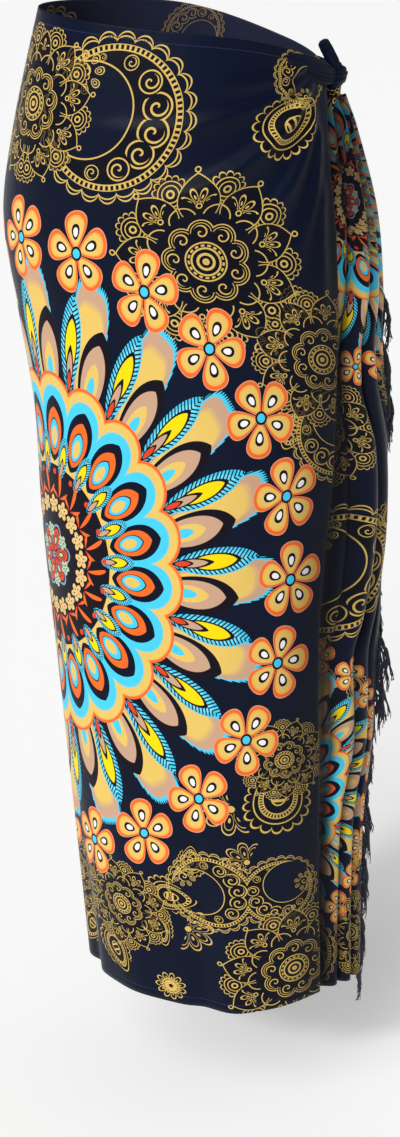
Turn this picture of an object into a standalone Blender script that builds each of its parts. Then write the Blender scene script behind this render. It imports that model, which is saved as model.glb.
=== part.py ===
"""A sarong worn round the hips and tied at the wearer's left hip.

One rectangle of thin printed cloth goes once round the body and a little more. Its two top corners are
knotted at the left hip, and the end that is left over hangs from the knot in pleats, with the fringe of
the cloth's short side down its free edge. The wearer holds it up, so the origin is the centre of the
waist opening, with +Z up, +X to the wearer's left and -Y to the front.
"""

import math
from collections import namedtuple

import bmesh
import bpy
import numpy as np
from mathutils import Matrix, Vector

# Driving sizes, in metres and degrees. A bearing goes from the wearer's left (0) by the front (90)
# to the right (180), and on by the back (270). A level is a height over the waist opening's centre.
WALL = 0.0014
SEAM_GAP = 0.0004
SEAM_BEARING = 202.0
LAYER = 0.0025
LIP_RADIUS = 0.0030
LIP_RETURN = 0.018
LIP_STAND_OFF = 0.0115
INNER_END_BEARING = 84.0
KNOT_BEARING = 14.0
KNOT_LEVEL = -0.063
KNOT_STAND_OFF = 0.0205
FALL_TOP_LEVEL = -0.0831
CORNER_LEVEL = -0.287
FALL_HEM_LEVEL = -1.098
PLEATS = 4
FRINGE_LENGTH = 0.062
FRINGE_LOCKS = 70
FRINGE_STRIP = 0.0035
FRINGE_GAP = 0.0006
LOCK_WIDTH = 0.0019

Ring = namedtuple("Ring", "level half_width half_depth centre_x centre_y")
RINGS = (
    Ring(0.010, 0.1375, 0.104, 0.0015, 0.000),
    Ring(-0.060, 0.1500, 0.114, -0.0040, 0.000),
    Ring(-0.120, 0.1650, 0.123, -0.0030, 0.002),
    Ring(-0.210, 0.1825, 0.132, 0.0015, 0.003),
    Ring(-0.300, 0.1810, 0.134, 0.0110, 0.002),
    Ring(-0.410, 0.1765, 0.132, 0.0215, 0.000),
    Ring(-0.530, 0.1750, 0.130, 0.0250, -0.002),
    Ring(-0.700, 0.1690, 0.127, 0.0310, -0.004),
    Ring(-0.900, 0.1605, 0.122, 0.0375, -0.006),
    Ring(-1.110, 0.1530, 0.118, 0.0460, -0.008),
)

# Where the cloth's long edges lie round the body.
Edge = namedtuple("Edge", "bearing rim hem")
EDGES = (
    Edge(-40.0, -0.040, -1.120),
    Edge(-15.0, -0.052, -1.120),
    Edge(0.0, -0.058, -1.112),
    Edge(15.0, -0.057, -1.099),
    Edge(27.0, -0.045, -1.093),
    Edge(47.0, -0.028, -1.093),
    Edge(70.0, -0.015, -1.097),
    Edge(100.0, -0.008, -1.097),
    Edge(130.0, -0.003, -1.090),
    Edge(160.0, 0.000, -1.091),
    Edge(180.0, 0.000, -1.094),
    Edge(230.0, -0.004, -1.102),
    Edge(270.0, -0.010, -1.108),
    Edge(320.0, -0.040, -1.120),
    Edge(345.0, -0.052, -1.120),
    Edge(360.0, -0.058, -1.112),
    Edge(375.0, -0.057, -1.099),
    Edge(400.0, -0.034, -1.093),
    Edge(460.0, -0.012, -1.096),
)

# The slit is the folded front edge of the outer layer. The fall is the free end that hangs beside it,
# and its tuck is how far it goes in behind the slit.
Side = namedtuple("Side", "level slit tuck free_edge stand_off pleat_height")
SIDES = (
    Side(-0.050, 20.0, -5.0, 9.0, 0.018, 0.0020),
    Side(-0.085, 25.0, -5.0, 8.0, 0.017, 0.0024),
    Side(-0.110, 29.5, -4.0, 4.0, 0.016, 0.0045),
    Side(-0.150, 33.0, -1.5, 0.0, 0.014, 0.0075),
    Side(-0.220, 36.5, 1.5, -3.0, 0.016, 0.0095),
    Side(-0.287, 38.0, 4.5, -4.0, 0.028, 0.0095),
    Side(-0.330, 39.5, 6.5, 10.0, 0.019, 0.0080),
    Side(-0.370, 41.0, 8.0, 10.0, 0.018, 0.0065),
    Side(-0.450, 43.0, 9.0, -7.0, 0.020, 0.0050),
    Side(-0.560, 47.0, 9.0, -12.0, 0.022, 0.0035),
    Side(-0.630, 49.0, 9.0, -5.0, 0.018, 0.0030),
    Side(-0.670, 49.0, 9.0, 6.0, 0.017, 0.0030),
    Side(-0.720, 49.0, 9.0, 5.0, 0.016, 0.0030),
    Side(-0.790, 48.0, 9.0, 2.0, 0.015, 0.0030),
    Side(-0.860, 47.5, 9.0, 13.0, 0.013, 0.0035),
    Side(-0.970, 47.0, 9.0, 17.0, 0.013, 0.0045),
    Side(-1.060, 46.0, 9.0, 18.0, 0.014, 0.0055),
    Side(-1.130, 46.0, 9.0, 18.0, 0.014, 0.0060),
)

# Creases that the knot pulls in the outer layer: soft ridges that fan out from it.
Crease = namedtuple("Crease", "fall_angle reach height half_width")
CREASES = (
    Crease(7.0, 0.20, 0.0030, 0.009),
    Crease(20.0, 0.36, 0.0050, 0.012),
    Crease(36.0, 0.26, 0.0040, 0.012),
    Crease(52.0, 0.20, 0.0040, 0.011),
    Crease(68.0, 0.16, 0.0035, 0.010),
)

# Soft upright folds in the skirt of the wrap, each deepest at the hem.
Flute = namedtuple("Flute", "bearing spread push from_level")
FLUTES = (
    Flute(163.0, 7.0, -0.009, -0.80),
    Flute(128.0, 11.0, 0.004, -0.55),
    Flute(97.0, 6.0, -0.004, -0.72),
    Flute(84.0, 7.0, 0.004, -0.66),
    Flute(214.0, 12.0, 0.005, -0.50),
    Flute(238.0, 9.0, -0.006, -0.45),
    Flute(262.0, 12.0, 0.006, -0.40),
    Flute(289.0, 10.0, -0.006, -0.52),
    Flute(314.0, 12.0, 0.005, -0.45),
    Flute(338.0, 9.0, -0.004, -0.60),
)

# A fringe lock's run from its root to its tip.
Bend = namedtuple("Bend", "from_plumb outward taper")
LOCK_BENDS = (
    Bend(52.0, 0.70, 0.95),
    Bend(24.0, 0.25, 0.85),
    Bend(10.0, 0.05, 0.50),
)


def read_table(rows, key, column, at):
    """A column of a table at any place between its rows, on a smooth curve through them."""
    place = np.array([getattr(row, key) for row in rows])
    value = np.array([getattr(row, column) for row in rows])
    order = np.argsort(place)
    place, value = place[order], value[order]
    slope = np.gradient(value, place)
    at = np.clip(at, place[0], place[-1])
    i = np.clip(np.searchsorted(place, at) - 1, 0, len(place) - 2)
    width = place[i + 1] - place[i]
    t = (at - place[i]) / width
    start = value[i] * (1 + 2 * t) * (1 - t) ** 2 + slope[i] * width * t * (1 - t) ** 2
    end = value[i + 1] * (3 - 2 * t) * t**2 - slope[i + 1] * width * t**2 * (1 - t)
    return start + end


def ease(low, high, at):
    """0 up to low, 1 from high, and smooth between them."""
    t = np.clip((at - low) / (high - low), 0.0, 1.0)
    return t * t * (3 - 2 * t)


def side(column, level):
    return read_table(SIDES, "level", column, level)


def flute_push(bearing, level):
    push = 0.0
    for flute in FLUTES:
        turn = (bearing - flute.bearing + 180.0) % 360.0 - 180.0
        grown = ease(-flute.from_level, 1.11, -level)
        push = push + flute.push * grown * np.exp(-((turn / flute.spread) ** 2))
    return push


def skin(bearing, level, offset=0.0):
    """Points that stand off the wearer's outline by the offset, as an array with x, y and z last."""
    bearing, level, offset = np.broadcast_arrays(
        np.asarray(bearing, float), np.asarray(level, float), np.asarray(offset, float)
    )
    half_width = read_table(RINGS, "level", "half_width", level)
    half_depth = read_table(RINGS, "level", "half_depth", level)
    angle = np.radians(bearing)
    out_x, out_y = half_depth * np.cos(angle), -half_width * np.sin(angle)
    length = np.hypot(out_x, out_y)
    off = offset + flute_push(bearing, level)
    x = read_table(RINGS, "level", "centre_x", level) + half_width * np.cos(angle) + off * out_x / length
    y = read_table(RINGS, "level", "centre_y", level) - half_depth * np.sin(angle) + off * out_y / length
    return np.stack([x, y, level], axis=-1)


def degrees_per_metre(bearing, level):
    """How far a bearing turns for each metre along the outline."""
    half_width = read_table(RINGS, "level", "half_width", level)
    half_depth = read_table(RINGS, "level", "half_depth", level)
    angle = np.radians(bearing)
    return 180.0 / math.pi / np.hypot(half_width * np.sin(angle), half_depth * np.cos(angle))


def crease_push(bearing, level):
    """The height of the knot's creases on the outer layer."""
    across = (bearing - KNOT_BEARING) / degrees_per_metre(bearing, level)
    drop = KNOT_LEVEL - level
    reach = np.hypot(across, drop)
    angle = np.degrees(np.arctan2(drop, across))
    push = 0.0
    for crease in CREASES:
        aside = np.radians(angle - crease.fall_angle - 22.0 * reach) * reach
        width = crease.half_width * (0.6 + reach / crease.reach)
        fade = 1.0 - ease(0.35 * crease.reach, crease.reach, reach)
        push = push + crease.height * fade * ease(0.045, 0.085, reach) * np.exp(-((aside / width) ** 2))
    return push


def wall_object(name, points, material, wall=WALL):
    """A closed wall of even thickness on a grid of points, by a Solidify modifier."""
    rows, columns = points.shape[:2]
    mesh = bpy.data.meshes.new(name)
    index = np.arange(rows * columns).reshape(rows, columns)
    faces = np.stack([index[:-1, :-1], index[1:, :-1], index[1:, 1:], index[:-1, 1:]], axis=-1)
    mesh.from_pydata(points.reshape(-1, 3).tolist(), [], faces.reshape(-1, 4).tolist())
    mesh.materials.append(material)
    mesh.shade_smooth()
    wall_piece = bpy.data.objects.new(name, mesh)
    bpy.context.scene.collection.objects.link(wall_piece)
    solid = wall_piece.modifiers.new("Wall", "SOLIDIFY")
    solid.thickness = wall
    solid.offset = 0.0
    solid.use_even_offset = True
    return wall_piece


def cloth_material(name, colour, roughness):
    material = bpy.data.materials.new(name)
    material.use_nodes = True
    shader = material.node_tree.nodes["Principled BSDF"]
    shader.inputs["Base Color"].default_value = (*colour, 1.0)
    shader.inputs["Roughness"].default_value = roughness
    shader.inputs["Metallic"].default_value = 0.0
    material.diffuse_color = (*colour, 1.0)
    return material


def levels_down(rim, hem, rows, crowding=1.35):
    """Levels from rim to hem, closer together near the rim, as an array with a row for each."""
    share = np.linspace(0.0, 1.0, rows)[:, None] ** crowding
    return rim + (hem - rim) * share


def outer_offset(bearing):
    """The outer layer lies on the body, and lifts over the inner end and the fall near the slit."""
    return LIP_STAND_OFF * (1.0 - ease(72.0, 112.0, bearing))


def front_grid(rows=23, run_columns=28, lip_columns=7):
    """The outer layer from the seam at the right hip, by the front, to the slit, where it folds under.

    Each row runs along the body, round a half circle at the fold and a short way back behind itself."""
    share = np.linspace(0.0, 1.0, run_columns)[None, :]
    slit_guess = side("slit", np.linspace(-0.06, -1.11, rows)[:, None])
    bearing = SEAM_BEARING + (slit_guess - SEAM_BEARING) * share
    rim = read_table(EDGES, "bearing", "rim", bearing)
    hem = read_table(EDGES, "bearing", "hem", bearing)
    level = levels_down(rim, hem, rows)
    slit = side("slit", level[:, -1:])
    bearing = SEAM_BEARING + (slit - SEAM_BEARING) * share
    fade_at_knot = ease(0.0, 12.0, bearing - KNOT_BEARING)
    run = skin(bearing, level, outer_offset(bearing) + crease_push(bearing, level) * fade_at_knot)
    turn = np.radians(np.linspace(0.0, 180.0, lip_columns + 1)[None, 1:])
    back = LIP_RETURN * np.linspace(0.0, 1.0, 4)[None, 1:]
    ahead = np.concatenate([LIP_RADIUS * np.sin(turn), -back], axis=1)
    drop = np.concatenate([LIP_RADIUS * (1 - np.cos(turn)), np.full_like(back, 2 * LIP_RADIUS)], axis=1)
    lip_level = np.broadcast_to(level[:, -1:], (rows, ahead.shape[1]))
    lip_bearing = slit - ahead * degrees_per_metre(slit, lip_level)
    lip = skin(lip_bearing, lip_level, outer_offset(slit) - drop)
    lip += (run[:, -1:] - skin(slit, level[:, -1:], outer_offset(slit))) * (1 - drop / (2 * LIP_RADIUS))[..., None]
    return np.concatenate([run, lip], axis=1)


def back_grid(rows=20, columns=30):
    """The rest of the way round: from the seam by the back and the left hip to the inner end, which
    lies against the body behind the outer layer."""
    start, end = SEAM_BEARING, 360.0 + INNER_END_BEARING
    bearing = np.linspace(start, end, columns)[None, :]
    bearing = bearing + SEAM_GAP * degrees_per_metre(start, -0.5) * (1 - (bearing - start) / (end - start))
    rim = read_table(EDGES, "bearing", "rim", bearing)
    hem = read_table(EDGES, "bearing", "hem", bearing)
    level = levels_down(rim, hem, rows)
    return skin(np.broadcast_to(bearing, level.shape), level)


def fall_levels(rows):
    """Levels of the fall's rows: one lies at the corner, where the hem of the top edge meets the fringe."""
    upper = np.linspace(FALL_TOP_LEVEL, CORNER_LEVEL, 11)
    lower = np.linspace(CORNER_LEVEL, FALL_HEM_LEVEL, rows - 10)[1:]
    return np.concatenate([upper, lower])[:, None]


def fall_grid(rows=31, columns=27):
    """The free end, which hangs from the knot beside the slit in pleats that open on the way down."""
    level = fall_levels(rows)
    share = np.linspace(0.0, 1.0, columns)[None, :]
    left = side("slit", level) + side("tuck", level)
    bearing = left + (side("free_edge", level) - left) * share
    past = side("slit", level) - bearing
    stand_off = LAYER + (side("stand_off", level) - LAYER) * ease(1.6, 16.0, past)
    pleat = 0.5 - 0.5 * np.cos(2 * math.pi * PLEATS * share ** (1.0 + 0.25 * ease(0.29, 0.36, -level)))
    offset = stand_off + side("pleat_height", level) * pleat * ease(1.6, 8.0, past)
    hem = read_table(EDGES, "bearing", "hem", bearing)
    sag = (hem - FALL_HEM_LEVEL) * ease(0.8, -FALL_HEM_LEVEL, -level)
    return skin(bearing, np.broadcast_to(level, bearing.shape) + sag, offset)


def edge_frames(points):
    """The free edge of a grid below its corner row: places, and unit vectors across the edge and out."""
    rows = fall_levels(points.shape[0])[:, 0] <= CORNER_LEVEL + 1e-6
    place = points[rows, -1]
    across = place - points[rows, -2]
    along = np.gradient(place, axis=0)
    along /= np.linalg.norm(along, axis=1, keepdims=True)
    across -= (across * along).sum(1, keepdims=True) * along
    across /= np.linalg.norm(across, axis=1, keepdims=True)
    return place, across, np.cross(along, across)


def fringe_object(name, points, material):
    """Locks that hang from a narrow strip along the free edge, as one closed piece.

    The strip has a short root face for each lock, and the lock grows out of that face."""
    place, across, out = edge_frames(points)
    run = np.concatenate([[0.0], np.cumsum(np.linalg.norm(np.diff(place, axis=0), axis=1))])
    pitch = run[-1] / FRINGE_LOCKS
    starts = (np.arange(FRINGE_LOCKS) + 0.5) * pitch - LOCK_WIDTH / 2
    bends = [bend for bend in run[1:-1] if np.abs(starts + LOCK_WIDTH / 2 - bend).min() > LOCK_WIDTH]
    stations = np.sort(np.concatenate([[0.0006], starts, starts + LOCK_WIDTH, bends, [run[-1] - 0.0006]]))
    is_root = np.isin(stations, starts)

    def at_stations(values):
        return np.stack([np.interp(stations, run, values[:, axis]) for axis in range(3)], axis=-1)

    place, across, out = at_stations(place), at_stations(across), at_stations(out)
    inner = place + across * FRINGE_GAP
    outer = inner + across * FRINGE_STRIP
    half = out * WALL / 2
    shape = bmesh.new()
    lines = [[shape.verts.new(p) for p in line] for line in (inner - half, outer - half, outer + half, inner + half)]
    roots = []
    for k in range(len(stations) - 1):
        for low, high in ((0, 1), (1, 2), (2, 3), (3, 0)):
            face = shape.faces.new((lines[low][k], lines[high][k], lines[high][k + 1], lines[low][k + 1]))
            if low == 1 and is_root[k]:
                roots.append((face, k))
    shape.faces.new([line[0] for line in lines][::-1])
    shape.faces.new([line[-1] for line in lines])
    chance = np.random.default_rng(7)
    for face, k in roots:
        grow_lock(shape, face, Vector(across[k] + across[k + 1]), Vector(out[k] + out[k + 1]), chance)
    bmesh.ops.recalc_face_normals(shape, faces=shape.faces)
    mesh = bpy.data.meshes.new(name)
    shape.to_mesh(mesh)
    shape.free()
    mesh.materials.append(material)
    fringe = bpy.data.objects.new(name, mesh)
    bpy.context.scene.collection.objects.link(fringe)
    return fringe


def grow_lock(shape, face, across, out, chance):
    """Extrudes a root face into one lock, which leaves across the edge and turns down under its weight."""
    length = FRINGE_LENGTH * chance.uniform(0.88, 1.08)
    out = out.normalized()
    down = Vector((0.0, 0.0, -1.0))
    sideways = (across - down * across.dot(down)).normalized()
    centre = Vector(face.calc_center_median())
    for bend in LOCK_BENDS:
        angle = math.radians(bend.from_plumb + chance.uniform(-2.0, 2.0))
        heading = sideways * math.sin(angle) + down * math.cos(angle) + out * bend.outward
        heading.normalize()
        centre = centre + heading * length / len(LOCK_BENDS)
        wide = heading.cross(out).normalized()
        thick = wide.cross(heading).normalized()
        middle = Vector(face.calc_center_median())
        was_wide = shape_axis(face, out)
        sign = 1.0 if was_wide.dot(wide) >= 0 else -1.0
        face = bmesh.ops.extrude_discrete_faces(shape, faces=[face])["faces"][0]
        for corner in face.verts:
            spoke = corner.co - middle
            along_wide = sign if spoke.dot(was_wide) >= 0 else -sign
            along_thick = 1.0 if spoke.dot(out) >= 0 else -1.0
            corner.co = (
                centre
                + wide * along_wide * LOCK_WIDTH / 2 * bend.taper
                + thick * along_thick * WALL / 2 * bend.taper
            )


def shape_axis(face, out):
    """The direction of a lock face's wide side: its longest edge that doesn't point out."""
    edges = [edge.verts[1].co - edge.verts[0].co for edge in face.edges]
    level = [edge - out * edge.dot(out) for edge in edges]
    return max(level, key=lambda edge: edge.length).normalized()


def knot_frame():
    """A matrix at the middle of the knot: x along the waist to the front, y out from the body, z up."""
    middle = Vector(skin(KNOT_BEARING, KNOT_LEVEL, KNOT_STAND_OFF).tolist())
    out = (middle - Vector(skin(KNOT_BEARING, KNOT_LEVEL).tolist())).normalized()
    up = Vector((0, 0, 1))
    ahead = out.cross(up).normalized()
    frame = Matrix((ahead, out, up)).transposed().to_4x4()
    frame.translation = middle
    return frame


def lofted_object(name, sections, frame, material, sides=14):
    """A closed piece through oval sections, each with a middle, two half sizes and a lean."""
    rings = []
    for section in sections:
        ring = []
        for k in range(sides):
            turn = 2 * math.pi * k / sides
            dent = 1.0 + section.ribs * math.cos(4 * turn)
            local = Vector((math.cos(turn) * section.half_wide * dent, math.sin(turn) * section.half_deep * dent, 0))
            local.rotate(Matrix.Rotation(math.radians(section.lean), 3, "Y"))
            ring.append(frame @ (Vector((section.x, section.y, section.z)) + local))
        rings.append(ring)
    return ring_object(name, rings, material)


def ring_object(name, rings, material):
    """A closed skin over rings of points that have the same count, with a flat face at each end."""
    shape = bmesh.new()
    rings = [[shape.verts.new(point) for point in ring] for ring in rings]
    sides = len(rings[0])
    for low, high in zip(rings, rings[1:]):
        for k in range(sides):
            shape.faces.new((low[k], low[(k + 1) % sides], high[(k + 1) % sides], high[k]))
    shape.faces.new(rings[0][::-1])
    shape.faces.new(rings[-1])
    bmesh.ops.recalc_face_normals(shape, faces=shape.faces)
    mesh = bpy.data.meshes.new(name)
    shape.to_mesh(mesh)
    shape.free()
    mesh.materials.append(material)
    mesh.shade_smooth()
    piece = bpy.data.objects.new(name, mesh)
    bpy.context.scene.collection.objects.link(piece)
    return piece


Section = namedtuple("Section", "x y z half_wide half_deep lean ribs")
KNOT_CORE = (
    Section(0.000, -0.007, -0.0195, 0.0150, 0.0060, 0.0, 0.06),
    Section(0.000, -0.005, -0.0165, 0.0120, 0.0064, 0.0, 0.07),
    Section(0.000, -0.002, -0.0125, 0.0072, 0.0056, 0.0, 0.05),
    Section(0.000, 0.000, -0.0085, 0.0045, 0.0045, 0.0, 0.0),
    Section(0.000, 0.000, 0.0070, 0.0045, 0.0045, 0.0, 0.0),
    Section(0.001, -0.001, 0.0108, 0.0066, 0.0056, 8.0, 0.04),
    Section(0.002, -0.002, 0.0132, 0.0052, 0.0042, 14.0, 0.0),
)
EAR = (
    Section(0.0020, -0.003, 0.0139, 0.0046, 0.0040, 14.0, 0.0),
    Section(0.0025, -0.006, 0.0200, 0.0050, 0.0038, 10.0, 0.0),
    Section(0.0030, -0.011, 0.0265, 0.0052, 0.0036, 10.0, 0.0),
    Section(0.0035, -0.015, 0.0320, 0.0050, 0.0034, 10.0, 0.0),
    Section(0.0035, -0.016, 0.0345, 0.0036, 0.0024, 10.0, 0.0),
)

# The cloth's two top edges, gathered as they run into the knot from the front and from the back.
Arm = namedtuple("Arm", "bearing level stand_off half_wide half_deep")
FRONT_ARM = (
    Arm(35.0, -0.046, 0.0142, 0.0016, 0.0012),
    Arm(30.0, -0.051, 0.0150, 0.0042, 0.0022),
    Arm(25.0, -0.057, 0.0160, 0.0058, 0.0030),
    Arm(20.2, -0.062, 0.0175, 0.0056, 0.0040),
)
BACK_ARM = (
    Arm(8.4, -0.062, 0.0140, 0.0056, 0.0040),
    Arm(4.0, -0.061, 0.0092, 0.0060, 0.0032),
    Arm(-0.5, -0.061, 0.0050, 0.0048, 0.0022),
    Arm(-5.0, -0.061, 0.0026, 0.0018, 0.0012),
)


def arm_object(name, rows, material, sides=10):
    """A closed taper along the body, through one oval for each row."""
    centre = np.array([skin(row.bearing, row.level, row.stand_off) for row in rows])
    out = centre - np.array([skin(row.bearing, row.level) for row in rows])
    out /= np.linalg.norm(out, axis=1, keepdims=True)
    ahead = np.gradient(centre, axis=0)
    across = np.cross(ahead, out)
    across /= np.linalg.norm(across, axis=1, keepdims=True)
    turn = 2 * math.pi * np.arange(sides)[:, None] / sides
    rings = [
        centre[k] + across[k] * np.cos(turn) * row.half_wide + out[k] * np.sin(turn) * row.half_deep
        for k, row in enumerate(rows)
    ]
    return ring_object(name, rings, material)


def knot_loop(name, frame, material):
    """The half hitch round the core: a squashed ring of cloth, tilted as it was pulled tight."""
    bpy.ops.mesh.primitive_torus_add(
        major_segments=22, minor_segments=10, major_radius=0.0094, minor_radius=0.0040
    )
    loop = bpy.context.object
    loop.name = name
    loop.data.name = name
    flatten = Matrix.Diagonal((1.04, 0.98, 1.35, 1.0))
    loop.data.transform(frame @ Matrix.Rotation(math.radians(-12.0), 4, "Y") @ flatten)
    loop.data.materials.append(material)
    loop.data.shade_smooth()
    return loop


def build():
    for old in list(bpy.data.objects):
        bpy.data.objects.remove(old)
    printed = cloth_material("printed_rayon", (0.035, 0.040, 0.095), 0.55)
    fringed = cloth_material("fringe_thread", (0.020, 0.022, 0.040), 0.75)
    wall_object("wrap_front", front_grid(), printed)
    wall_object("wrap_back", back_grid(), printed)
    fall = fall_grid()
    wall_object("fall", fall, printed)
    fringe_object("fall_fringe", fall, fringed)
    frame = knot_frame()
    lofted_object("knot_core", KNOT_CORE, frame, printed)
    knot_loop("knot_loop", frame, printed)
    lofted_object("knot_ear", EAR, frame, printed, sides=10)
    arm_object("knot_front_arm", FRONT_ARM, printed)
    arm_object("knot_back_arm", BACK_ARM, printed)


build()
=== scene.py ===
"""A printed sarong, worn round the hips and tied at the wearer's left hip, dressed for its picture."""

import math
from collections import namedtuple

import bpy
import numpy as np
from mathutils import Matrix


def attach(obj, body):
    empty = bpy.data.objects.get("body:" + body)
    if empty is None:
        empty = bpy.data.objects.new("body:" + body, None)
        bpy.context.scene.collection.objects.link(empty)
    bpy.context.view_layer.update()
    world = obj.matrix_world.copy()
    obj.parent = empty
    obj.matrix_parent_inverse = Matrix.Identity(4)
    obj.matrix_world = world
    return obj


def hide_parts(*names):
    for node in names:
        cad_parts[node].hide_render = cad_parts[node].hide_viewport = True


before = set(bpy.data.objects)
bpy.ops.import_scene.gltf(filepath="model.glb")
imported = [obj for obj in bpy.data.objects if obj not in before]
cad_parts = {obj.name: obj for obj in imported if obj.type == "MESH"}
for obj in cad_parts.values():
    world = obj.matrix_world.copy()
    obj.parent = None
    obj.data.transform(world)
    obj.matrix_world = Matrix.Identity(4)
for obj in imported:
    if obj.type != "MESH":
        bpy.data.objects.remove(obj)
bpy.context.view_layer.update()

bpy.ops.object.select_all(action="DESELECT")

# The camera stands a little over two metres in front of the hips and looks down at them.
bpy.ops.object.camera_add(location=(0.0222, -2.156, 0.29), rotation=(math.radians(67.4), 0.0, 0.0))
camera = bpy.context.object
camera.data.sensor_fit = "VERTICAL"
camera.data.sensor_height = 36.0
camera.data.lens = 36.0 * 2109.0 / 1137.0
bpy.context.scene.camera = camera
bpy.ops.object.select_all(action="DESELECT")


# The outer layer of the wrap: one width of soft printed rayon from the right hip, across the front, to
# the slit at the left, where it folds under itself. It is drawn tight by the knot and hangs straight
# from the hips.
def table(columns, *rows):
    """Rows of values whose columns have names."""
    row = namedtuple("Row", columns)
    return [row(*values) for values in rows]


BODY = table(
    "level half_width half_depth centre_x centre_y",
    (0.01, 0.1375, 0.104, 0.0015, 0),
    (-0.06, 0.15, 0.114, -0.004, 0),
    (-0.12, 0.165, 0.123, -0.003, 0.002),
    (-0.21, 0.1825, 0.132, 0.0015, 0.003),
    (-0.3, 0.181, 0.134, 0.011, 0.002),
    (-0.41, 0.1765, 0.132, 0.0215, 0),
    (-0.53, 0.175, 0.13, 0.025, -0.002),
    (-0.7, 0.169, 0.127, 0.031, -0.004),
    (-0.9, 0.1605, 0.122, 0.0375, -0.006),
    (-1.11, 0.153, 0.118, 0.046, -0.008),
)
LONG_EDGES = table(
    "bearing rim hem",
    (-40, -0.04, -1.12),
    (-15, -0.052, -1.12),
    (0, -0.058, -1.112),
    (15, -0.057, -1.099),
    (27, -0.045, -1.093),
    (47, -0.028, -1.093),
    (70, -0.015, -1.097),
    (100, -0.008, -1.097),
    (130, -0.003, -1.09),
    (160, 0, -1.091),
    (180, 0, -1.094),
    (230, -0.004, -1.102),
    (270, -0.01, -1.108),
    (320, -0.04, -1.12),
    (345, -0.052, -1.12),
    (360, -0.058, -1.112),
    (375, -0.057, -1.099),
    (400, -0.034, -1.093),
    (460, -0.012, -1.096),
)
LEFT_SIDE = table(
    "level slit tuck free_edge stand_off pleat_height",
    (-0.05, 20, -5, 9, 0.018, 0.002),
    (-0.085, 25, -5, 8, 0.017, 0.0024),
    (-0.11, 29.5, -4, 4, 0.016, 0.0045),
    (-0.15, 33, -1.5, 0, 0.014, 0.0075),
    (-0.22, 36.5, 1.5, -3, 0.0135, 0.009),
    (-0.287, 38, 4.5, -2, 0.0145, 0.0085),
    (-0.33, 39.5, 6.5, 8, 0.014, 0.008),
    (-0.37, 41, 8, 8, 0.016, 0.0065),
    (-0.45, 43, 9, -7, 0.02, 0.005),
    (-0.56, 47, 9, -12, 0.022, 0.0035),
    (-0.63, 49, 9, -5, 0.018, 0.003),
    (-0.67, 49, 9, 6, 0.017, 0.003),
    (-0.72, 49, 9, 5, 0.016, 0.003),
    (-0.79, 48, 9, 2, 0.015, 0.003),
    (-0.86, 47.5, 9, 13, 0.013, 0.0035),
    (-0.97, 47, 9, 17, 0.013, 0.0045),
    (-1.06, 46, 9, 18, 0.014, 0.0055),
    (-1.13, 46, 9, 18, 0.014, 0.006),
)
FLUTES = table(
    "bearing spread push from_level",
    (163, 7, -0.009, -0.8),
    (128, 11, 0.004, -0.55),
    (97, 6, -0.004, -0.72),
    (84, 7, 0.004, -0.66),
    (214, 12, 0.005, -0.5),
    (238, 9, -0.006, -0.45),
    (262, 12, 0.006, -0.4),
    (289, 10, -0.006, -0.52),
    (314, 12, 0.005, -0.45),
    (338, 9, -0.004, -0.6),
)
CLOTH_THICKNESS = 0.0008
SEAM_BEARING = 202.0
SEAM_GAP = 0.0004
PRINT_BEARING = 152.0
CLOTH_LENGTH = 1.1
KNOT_BEARING = 14.0
KNOT_LEVEL = -0.063
LAYER = 0.0025
LIP_RADIUS = 0.003
LIP_RETURN = 0.018
LIP_STAND_OFF = 0.0115
FULL_TURN = 2 * math.pi


def curve(first, last, first_slope, last_slope, t):
    """A smooth way from one value to the next, with their slopes."""
    start = first * (1 + 2 * t) * (1 - t) ** 2 + first_slope * t * (1 - t) ** 2
    return start + (last * (3 - 2 * t) * t**2 - last_slope * t**2 * (1 - t))


def read_table(rows, key, column, at):
    """A column of a table at any place between its rows, on a smooth curve through them."""
    place = np.array([getattr(row, key) for row in rows])
    value = np.array([getattr(row, column) for row in rows])
    order = np.argsort(place)
    place, value = place[order], value[order]
    slope = np.gradient(value, place)
    at = np.clip(at, place[0], place[-1])
    i = np.clip(np.searchsorted(place, at) - 1, 0, len(place) - 2)
    width = place[i + 1] - place[i]
    t = (at - place[i]) / width
    return curve(value[i], value[i + 1], slope[i] * width, slope[i + 1] * width, t)


def ease(low, high, at):
    """0 up to low, 1 from high, and smooth between them."""
    t = np.clip((at - low) / (high - low), 0.0, 1.0)
    return t * t * (3 - 2 * t)


def body(column, level):
    return read_table(BODY, "level", column, level)


def long_edge(column, bearing):
    return read_table(LONG_EDGES, "bearing", column, bearing)


def side(column, level):
    return read_table(LEFT_SIDE, "level", column, level)


def flute_push(bearing, level):
    push = 0.0
    for flute in FLUTES:
        turn = (bearing - flute.bearing + 180.0) % 360.0 - 180.0
        grown = ease(-flute.from_level, 1.11, -level)
        push = push + flute.push * grown * np.exp(-((turn / flute.spread) ** 2))
    return push


def skin(bearing, level, offset=0.0):
    """Points that stand off the wearer's outline by the offset, as an array with x, y and z last."""
    bearing, level, offset = np.broadcast_arrays(
        np.asarray(bearing, float), np.asarray(level, float), np.asarray(offset, float)
    )
    half_width = body("half_width", level)
    half_depth = body("half_depth", level)
    angle = np.radians(bearing)
    out_x, out_y = half_depth * np.cos(angle), -half_width * np.sin(angle)
    length = np.hypot(out_x, out_y)
    off = offset + flute_push(bearing, level)
    x = body("centre_x", level) + half_width * np.cos(angle) + off * out_x / length
    y = body("centre_y", level) - half_depth * np.sin(angle) + off * out_y / length
    return np.stack([x, y, level], axis=-1)


def metres_per_degree(bearing, level):
    half_width = body("half_width", level)
    half_depth = body("half_depth", level)
    angle = np.radians(bearing)
    return np.radians(np.hypot(half_width * np.sin(angle), half_depth * np.cos(angle)))


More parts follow.
